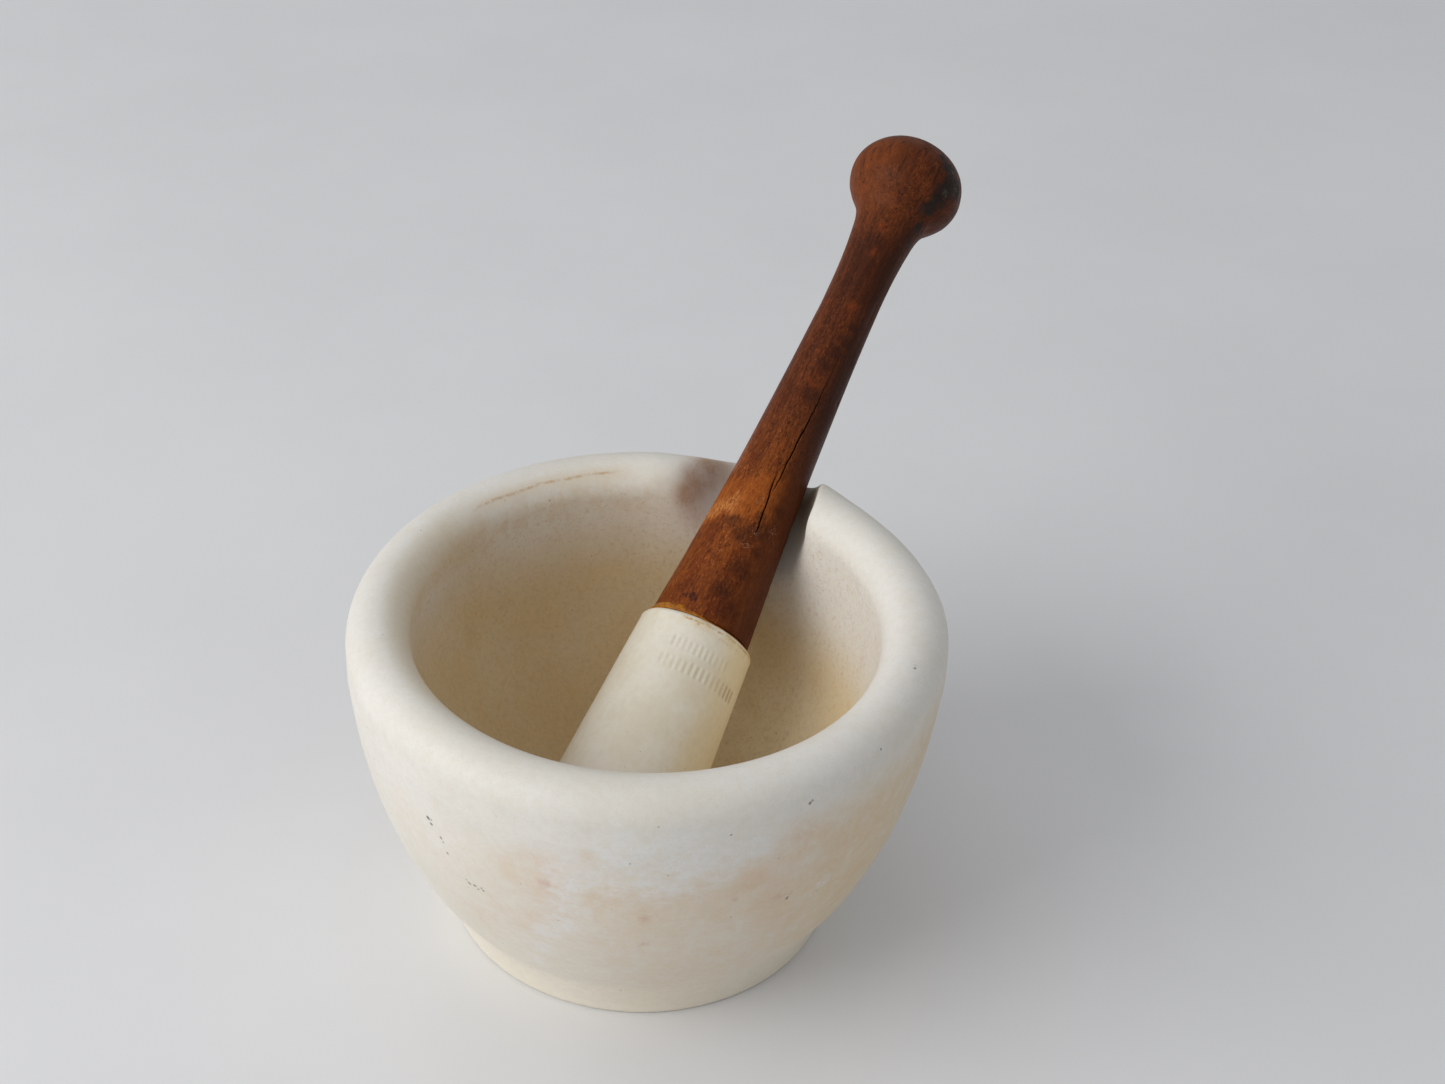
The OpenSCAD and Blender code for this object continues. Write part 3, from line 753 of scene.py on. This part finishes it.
def wood_material():
    m = Nodes("stained_hardwood_worn")
    p = m.attr("place")
    a, b, s = m.split(p)[0:3]
    th = m.math("MULTIPLY", m.math("ARCTAN2", a, b), 57.29578)
    # coordinates drawn out along the grain
    g = m.vmath("MULTIPLY", p, (1.0, 1.0, 0.06))
    wav = m.vmath("ADD", g, m.vmath("SCALE", m.noise(m.vmath("MULTIPLY", p, (0.1, 0.1, 0.03)), 1.0, 2, out="Color"), None, 2.2))
    fibre = m.noise(wav, 1.5, 6, 0.7)
    thread = m.noise(m.vmath("MULTIPLY", p, (1.0, 1.0, 0.04)), 4.2, 4, 0.75)
    fleck = m.noise(m.vmath("MULTIPLY", p, (1.0, 1.0, 0.34)), 2.1, 5, 0.8)
    dots = m.noise(m.vmath("MULTIPLY", p, (1.0, 1.0, 0.6)), 3.1, 2, 0.6)
    bands = m.noise(m.vmath("MULTIPLY", p, (0.30, 0.30, 0.018)), 1.0, 3, 0.55, 0.4)
    cloud = m.noise(p, 0.09, 4, 0.6, 0.4)
    upward = m.ramp(s, 34, 62)
    base = m.mix(upward, srgb(142, 72, 25), srgb(109, 53, 23))
    col = m.mix(m.ramp(bands, 0.35, 0.68), base, m.mix(upward, srgb(114, 51, 14), srgb(80, 36, 15)))
    col = m.mix(m.ramp(fibre, 0.42, 0.66, 0.0, 0.6), col, m.mix(upward, srgb(80, 34, 8), srgb(56, 24, 10)))
    col = m.mix(m.ramp(thread, 0.50, 0.72, 0.0, 0.5), col, m.mix(upward, srgb(178, 102, 42), srgb(136, 74, 36)))
    col = m.mix(m.ramp(fleck, 0.53, 0.62, 0.0, 0.85), col, m.mix(upward, srgb(58, 24, 6), srgb(44, 19, 8)))
    col = m.mix(m.ramp(fleck, 0.45, 0.35, 0.0, 0.62), col, m.mix(upward, srgb(192, 118, 54), srgb(140, 80, 42)))
    col = m.mix(m.ramp(dots, 0.64, 0.72, 0.0, 0.6), col, m.mix(upward, srgb(214, 144, 80), srgb(156, 94, 54)))
    col = m.mix(m.times(m.ramp(cloud, 0.42, 0.7), 0.35), col, srgb(78, 34, 18))
    # worn lighter patch where the handle rubs the spout
    ragged = m.math("ADD", s, m.math("MULTIPLY", m.math("SUBTRACT", m.noise(m.vmath("MULTIPLY", p, (0.8, 0.8, 0.2)), 1.0, 4, 0.7), 0.5), 9.0))
    edge = m.math("ADD", ragged, m.math("MULTIPLY", th, -0.055))
    rub = m.times(m.band(edge, 27.6, 37.4, 2.2), m.ramp(th, 78, 34))
    rub = m.times(rub, m.ramp(m.noise(m.vmath("MULTIPLY", p, (1.1, 1.1, 0.3)), 1.3, 5, 0.75), 0.32, 0.6, 0.25, 1.0))
    col = m.mix(m.times(rub, 0.46), col, srgb(180, 96, 34))
    bare = m.times(m.band(edge, 28.4, 32.2, 1.6), m.band(th, -56, -14, 16), m.ramp(fleck, 0.56, 0.40, 0.15, 1.0))
    col = m.mix(m.times(bare, 0.58), col, srgb(220, 150, 84))
    # a thin pale line along the left, from s 9 to 22
    streak = m.times(m.band(m.math("ADD", th, m.math("MULTIPLY", m.noise(m.vmath("MULTIPLY", p, (0.4, 0.4, 0.1)), 1.0, 3), 7.0)), -57.5, -56.5, 1.6), m.band(s, 9, 22, 4), m.ramp(fibre, 0.62, 0.45, 0.4, 1.0))
    col = m.mix(m.times(streak, 0.7), col, srgb(226, 160, 108))
    # darker, redder lower end
    lower = m.times(m.ramp(s, 28, 18), m.ramp(m.noise(m.vmath("MULTIPLY", p, (0.25, 0.25, 0.12)), 1.0, 4, 0.6), 0.3, 0.65))
    col = m.mix(m.times(lower, 0.25), col, srgb(100, 44, 18))
    # stains: blotches near the joint and below the worn patch, a grey-black one on the knob
    def blob(sv, tv, rv, rad, soft):
        return m.spot(warp, (rv * math.sin(tv * RAD), rv * math.cos(tv * RAD), sv), rad, soft)
    warp = m.vmath("ADD", p, m.vmath("SCALE", m.vmath("SUBTRACT", m.noise(p, 0.45, 4, 0.7, out="Color"), (0.5, 0.5, 0.5)), None, 4.0))
    spots = m.total([blob(4.2, -15, 11.4, 0.2, 0.6), blob(4.6, -10, 11.4, 0.3, 0.6), blob(4.5, -4, 11.4, 0.3, 0.7), blob(4.5, 1, 11.4, 0.15, 0.7)])
    col = m.mix(m.times(spots, 0.8), col, srgb(44, 20, 20))
    blotch = m.total([blob(25.3, -2, 9.8, 0.9, 1.6), blob(28.8, 32, 9.5, 0.5, 1.4), blob(32.4, 56, 9.3, 0.5, 1.6), blob(20.7, 46, 10.2, 0.6, 1.8), blob(22.9, 17, 10.0, 0.8, 2.4),
                      blob(26, 44, 9.7, 1.0, 2.6), blob(24.5, 28, 9.8, 0.9, 2.2), blob(15, 36, 10.6, 0.8, 3.2), blob(9, 26, 11.0, 0.8, 3.4), blob(5, 40, 11.3, 1.0, 3.0)])
    blotch = m.times(blotch, m.ramp(m.noise(m.vmath("MULTIPLY", p, (1.0, 1.0, 0.5)), 0.9, 5, 0.75), 0.30, 0.60, 0.25, 1.0))
    col = m.mix(m.times(blotch, 0.72), col, srgb(50, 24, 14))
    # painted shade: the right side of the handle, turned away from the light, made darker
    painted_right_shade = m.times(m.ramp(th, 18, 62), m.ramp(th, 150, 125), m.ramp(s, 2, 60, 0.78, 0.78), m.ramp(s, 74, 96, 1.0, 0.75), m.ramp(s, 118, 112, 0.35, 1.0), m.ramp(bands, 0.2, 0.5, 0.8, 1.0))
    col = m.mix(painted_right_shade, col, m.mix(upward, srgb(72, 31, 6), srgb(48, 23, 12)))
    # darker, streaky length of the neck with small orange windows in it
    neck = m.times(m.band(s, 92, 105, 5), m.band(th, -30, 60, 25), m.ramp(m.noise(m.vmath("MULTIPLY", p, (0.5, 0.5, 0.18)), 1.0, 5, 0.7), 0.3, 0.6, 0.3, 1.0))
    col = m.mix(m.times(neck, 0.6), col, srgb(54, 25, 14))
    dusk = m.total([blob(83, 42, 6.8, 0.5, 1.6), blob(79, 39, 7.0, 0.7, 1.7), blob(75, 33, 7.1, 0.8, 2.0), blob(71, 24, 7.3, 0.6, 2.4), blob(62, 26, 7.7, 0.6, 3.0)])
    col = m.mix(m.times(dusk, 0.55), col, srgb(44, 22, 16))
    ember = m.times(m.total([blob(102.8, 18, 6.9, 0.1, 1.8), blob(88, 26, 6.8, 0.1, 2.0), blob(66, 18, 7.5, 0.2, 2.4), blob(110, 10, 7.6, 0.1, 2.0)]),
                    m.ramp(m.noise(m.vmath("MULTIPLY", p, (1.0, 1.0, 0.5)), 1.2, 4, 0.7), 0.36, 0.6))
    col = m.mix(m.times(ember, 0.5), col, srgb(150, 70, 26))
    # painted light: warmer, paler left of the knob and of the neck below it, on the side the light falls on
    painted_knob_light = m.times(m.ramp(th, 46, -36), m.ramp(th, -150, -100, 0.35, 1.0), m.ramp(s, 108, 119), m.ramp(cloud, 0.3, 0.62, 0.5, 1.0))
    col = m.mix(m.times(painted_knob_light, 0.30), col, srgb(166, 86, 32))
    veil = m.times(m.ramp(s, 112, 120), m.ramp(m.noise(m.vmath("MULTIPLY", p, (0.5, 0.5, 0.16)), 1.0, 5, 0.7), 0.44, 0.62))
    col = m.mix(m.times(veil, 0.34), col, srgb(70, 32, 15))
    crown = m.times(m.ramp(s, 129, 137), m.ramp(cloud, 0.3, 0.6, 0.5, 1.0))
    col = m.mix(m.times(crown, 0.26), col, srgb(64, 30, 17))
    # grey-black stain on the right of the knob, with a pale bloom in it
    knob = m.total([blob(129.5, 58, 13.6, 1.6, 1.8), blob(126, 66, 14, 2.2, 2.0), blob(122.5, 62, 13.0, 1.9, 1.9), blob(119, 62, 11.3, 1.4, 1.8), blob(131.5, 48, 12.6, 0.8, 1.5),
                    blob(115, 76, 8.3, 0.7, 1.6), blob(128, 80, 13.6, 1.6, 2.0), blob(111, 82, 7.7, 0.3, 1.6)])
    knob = m.times(knob, m.ramp(m.noise(p, 0.55, 5, 0.75), 0.30, 0.52, 0.35, 1.0))
    col = m.mix(m.times(knob, 0.88), col, srgb(34, 33, 30))
    bloom = m.times(m.total([blob(129, 60, 13.7, 0.6, 1.5), blob(126, 72, 14, 0.5, 1.5), blob(123.5, 64, 13.4, 0.3, 1.1)]), m.ramp(m.noise(p, 1.3, 4, 0.7), 0.45, 0.62))
    col = m.mix(m.times(bloom, 0.6), col, srgb(98, 104, 94))
    # fine drying lines along the grain over the knob
    lean = m.math("ABSOLUTE", m.math("SUBTRACT", m.noise(m.vmath("MULTIPLY", p, (1.0, 1.0, 0.05)), 0.55, 2, 0.4), 0.5))
    dry = m.times(m.ramp(lean, 0.008, 0.045, 1.0, 0.0), m.ramp(s, 114, 118), m.ramp(m.noise(p, 0.3, 2), 0.42, 0.55), m.band(th, -40, 60, 20))
    col = m.mix(m.times(dry, 0.55), col, srgb(44, 22, 12))
    # amber resin smeared over the lowest edge of the wood
    smear = m.times(m.ramp(m.math("ADD", s, m.math("MULTIPLY", m.math("SUBTRACT", m.noise(p, 0.5, 3, 0.6), 0.5), 1.1)), 2.0, 1.35), m.band(th, -96, -12, 12))
    col = m.mix(m.times(smear, 0.88), col, m.mix(m.ramp(m.noise(p, 1.1, 3), 0.4, 0.6), srgb(176, 112, 24), srgb(142, 80, 14)))
    crack = m.attr("crack", "Fac")
    col = m.mix(m.ramp(crack, 0.12, 0.5), col, srgb(20, 9, 6))
    # pale scratches near the blotches
    sc = m.math("ABSOLUTE", m.math("SUBTRACT", m.noise(m.vmath("ADD", p, (3.0, 1.0, 5.0)), 0.55, 2, 0.4, 1.6), 0.5))
    scratch = m.times(m.ramp(sc, 0.004, 0.014, 1.0, 0.0), m.total([blob(21.1, 28, 10.1, 0.8, 0.9), blob(25.1, 33, 9.9, 0.6, 1.0), blob(27.7, 58, 9.6, 0.5, 1.0), blob(39.4, 4, 8.8, 0.3, 0.5), blob(32.4, 20, 9.3, 0.3, 0.8)]))
    col = m.mix(m.times(scratch, 0.55), col, srgb(200, 170, 144))
    # pores
    pore = m.ramp(m.noise(m.vmath("MULTIPLY", p, (1.0, 1.0, 0.11)), 4.2, 2, 0.6), 0.66, 0.74)
    col = m.mix(m.times(pore, 0.5), col, srgb(38, 18, 12))
    m.put(m.bsdf.inputs["Base Color"], col)
    m.bsdf.inputs["Specular IOR Level"].default_value = 0.11
    rough = m.ramp(m.math("ADD", m.math("MULTIPLY", fibre, 0.5), m.math("MULTIPLY", cloud, 0.5)), 0.35, 0.65, 0.40, 0.60)
    rough = m.math("ADD", rough, m.times(rub, 0.12))
    m.put(m.bsdf.inputs["Roughness"], rough)
    n1 = m.bump(fibre, 0.35, 0.00022)
    n2 = m.bump(m.math("SUBTRACT", 1.0, fleck), 0.35, 0.00016, m.bump(thread, 0.30, 0.00010, n1))
    n3 = m.bump(m.math("SUBTRACT", 1.0, pore), 0.4, 0.00012, n2)
    n4 = m.bump(m.noise(p, 0.5, 2), 0.2, 0.0003, n3)
    m.put(m.bsdf.inputs["Normal"], n4)
    return m.mat


def resin_material():
    m = Nodes("amber_resin_bead")
    p = m.attr("place")
    n = m.noise(p, 0.6, 4, 0.6)
    col = m.mix(m.ramp(n, 0.35, 0.65), srgb(150, 86, 10), srgb(190, 122, 28))
    col = m.mix(m.ramp(m.noise(p, 1.7, 3), 0.5, 0.7, 0.0, 0.6), col, srgb(96, 48, 10))
    m.put(m.bsdf.inputs["Base Color"], col)
    m.put(m.bsdf.inputs["Roughness"], m.ramp(n, 0.3, 0.7, 0.22, 0.42))
    m.bsdf.inputs["Coat Weight"].default_value = 0.0
    m.bsdf.inputs["Specular IOR Level"].default_value = 0.25
    m.put(m.bsdf.inputs["Normal"], m.bump(m.noise(p, 1.2, 3), 0.35, 0.0003))
    return m.mat


def floor_material():
    m = Nodes("pale_table")
    tc = m.new("ShaderNodeTexCoord").outputs["Object"]
    n = m.noise(tc, 9.0, 4, 0.6)
    col = m.mix(m.ramp(n, 0.3, 0.7), srgb(233, 233, 234), srgb(229, 229, 230))
    m.put(m.bsdf.inputs["Base Color"], col)
    m.bsdf.inputs["Roughness"].default_value = 0.42
    m.put(m.bsdf.inputs["Normal"], m.bump(m.noise(tc, 260.0, 3, 0.6), 0.05, 0.0005))
    return m.mat


# ---------------------------------------------------------------- put the pieces together
V, F, shape = build_mortar()
rad = np.hypot(V[:, 0], V[:, 1])
outer_r = np.interp(V[:, 2], [0, 5.5, 11.6, 20.5, 36, 51.5, 66.5], [43.2, 43.9, 46.9, 52.5, 58.6, 62.3, 64])
inside = ((V[:, 2] > 11) & (rad < outer_r - 5)).astype(float)
inside = np.where(V[:, 2] > 60, smooth(-rad, -57.5, -53.0), inside)
across = V[:, 0] * E[1] - V[:, 1] * E[0]
along = V[:, 0] * E[0] + V[:, 1] * E[1]
# painted shadow mask for the groove wall right of the handle, strongest next to the handle
channel_shade = smooth(across, 0, 5) * smooth(-across, -15.0, -8.5) * smooth(along, 46.5, 50) * smooth(V[:, 2], 57, 69) * smooth(-along, -69, -64)
mortar = add_mesh("mortar_body", V, F, {"place": V, "inside": inside, "channel_shade": channel_shade})
mortar.data.materials.append(mortar_material())
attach(mortar, "mortar")
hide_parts("mortar")

V, F, L, mark = build_head()
head = add_mesh("pestle_head_body", V, F, {"place": L, "mark": mark})
head.data.materials.append(head_material())
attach(head, "pestle")
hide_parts("pestle_head")

V, F, L = build_cement()
cement = add_mesh("resin_cement_bead", V, F, {"place": L})
cement.data.materials.append(resin_material())
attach(cement, "pestle")
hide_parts("resin_cement")

V, F, L, crack = build_handle()
handle = add_mesh("pestle_handle_body", V, F, {"place": L, "crack": crack})
handle.data.materials.append(wood_material())
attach(handle, "pestle")
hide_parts("pestle_handle")

# ---------------------------------------------------------------- floor, light, camera
me = bpy.data.meshes.new("table")
me.from_pydata([(-6, -6, 0), (6, -6, 0), (6, 6, 0), (-6, 6, 0)], [], [(0, 1, 2, 3)])
floor = bpy.data.objects.new("table", me)
bpy.context.scene.collection.objects.link(floor)
floor.data.materials.append(floor_material())


def area_light(name, place, target, size, power, colour=(1, 1, 1)):
    d = bpy.data.lights.new(name, "AREA")
    d.shape = "RECTANGLE"
    d.size, d.size_y = size
    d.energy = power
    d.color = colour
    o = bpy.data.objects.new(name, d)
    bpy.context.scene.collection.objects.link(o)
    p, t = np.array(place, float), np.array(target, float)
    z = (p - t) / np.linalg.norm(p - t)
    x = np.cross((0, 0, 1), z)
    x /= np.linalg.norm(x)
    y = np.cross(z, x)
    o.matrix_world = Matrix(((x[0], y[0], z[0], p[0]), (x[1], y[1], z[1], p[1]), (x[2], y[2], z[2], p[2]), (0, 0, 0, 1)))
    return o


area_light("window", (-1.02, -0.50, 0.68), (0, 0, 0.06), (1.0, 1.0), 10.6, (1.0, 0.995, 0.985))
area_light("ceiling", (-0.5, 0.3, 1.9), (0, 0, 0.05), (1.6, 1.6), 3.4, (0.97, 0.985, 1.0))

world = bpy.data.worlds.new("soft_room")
bpy.context.scene.world = world
world.use_nodes = True
bg = world.node_tree.nodes["Background"]
bg.inputs[0].default_value = (0.95, 0.97, 1.0, 1)
bg.inputs[1].default_value = 0.44

bpy.context.scene.view_settings.view_transform = "Standard"

cam_data = bpy.data.cameras.new("camera")
cam_data.sensor_fit = "HORIZONTAL"
cam_data.sensor_width = 36
cam_data.lens = 59.79
cam_data.clip_start, cam_data.clip_end = 0.01, 30
cam = bpy.data.objects.new("camera", cam_data)
bpy.context.scene.collection.objects.link(cam)
pitch, roll = 35.31 * RAD, 2.72 * RAD
fwd = np.array([0, math.cos(pitch), -math.sin(pitch)])
up0 = np.array([0, math.sin(pitch), math.cos(pitch)])
rt0 = np.array([1.0, 0, 0])
right = math.cos(roll) * rt0 + math.sin(roll) * up0
up = -math.sin(roll) * rt0 + math.cos(roll) * up0
loc = np.array([15.35, -409.23, 386.12]) * MM
cam.matrix_world = Matrix([[right[i], up[i], -fwd[i], loc[i]] for i in range(3)] + [[0, 0, 0, 1]])
bpy.context.scene.camera = cam
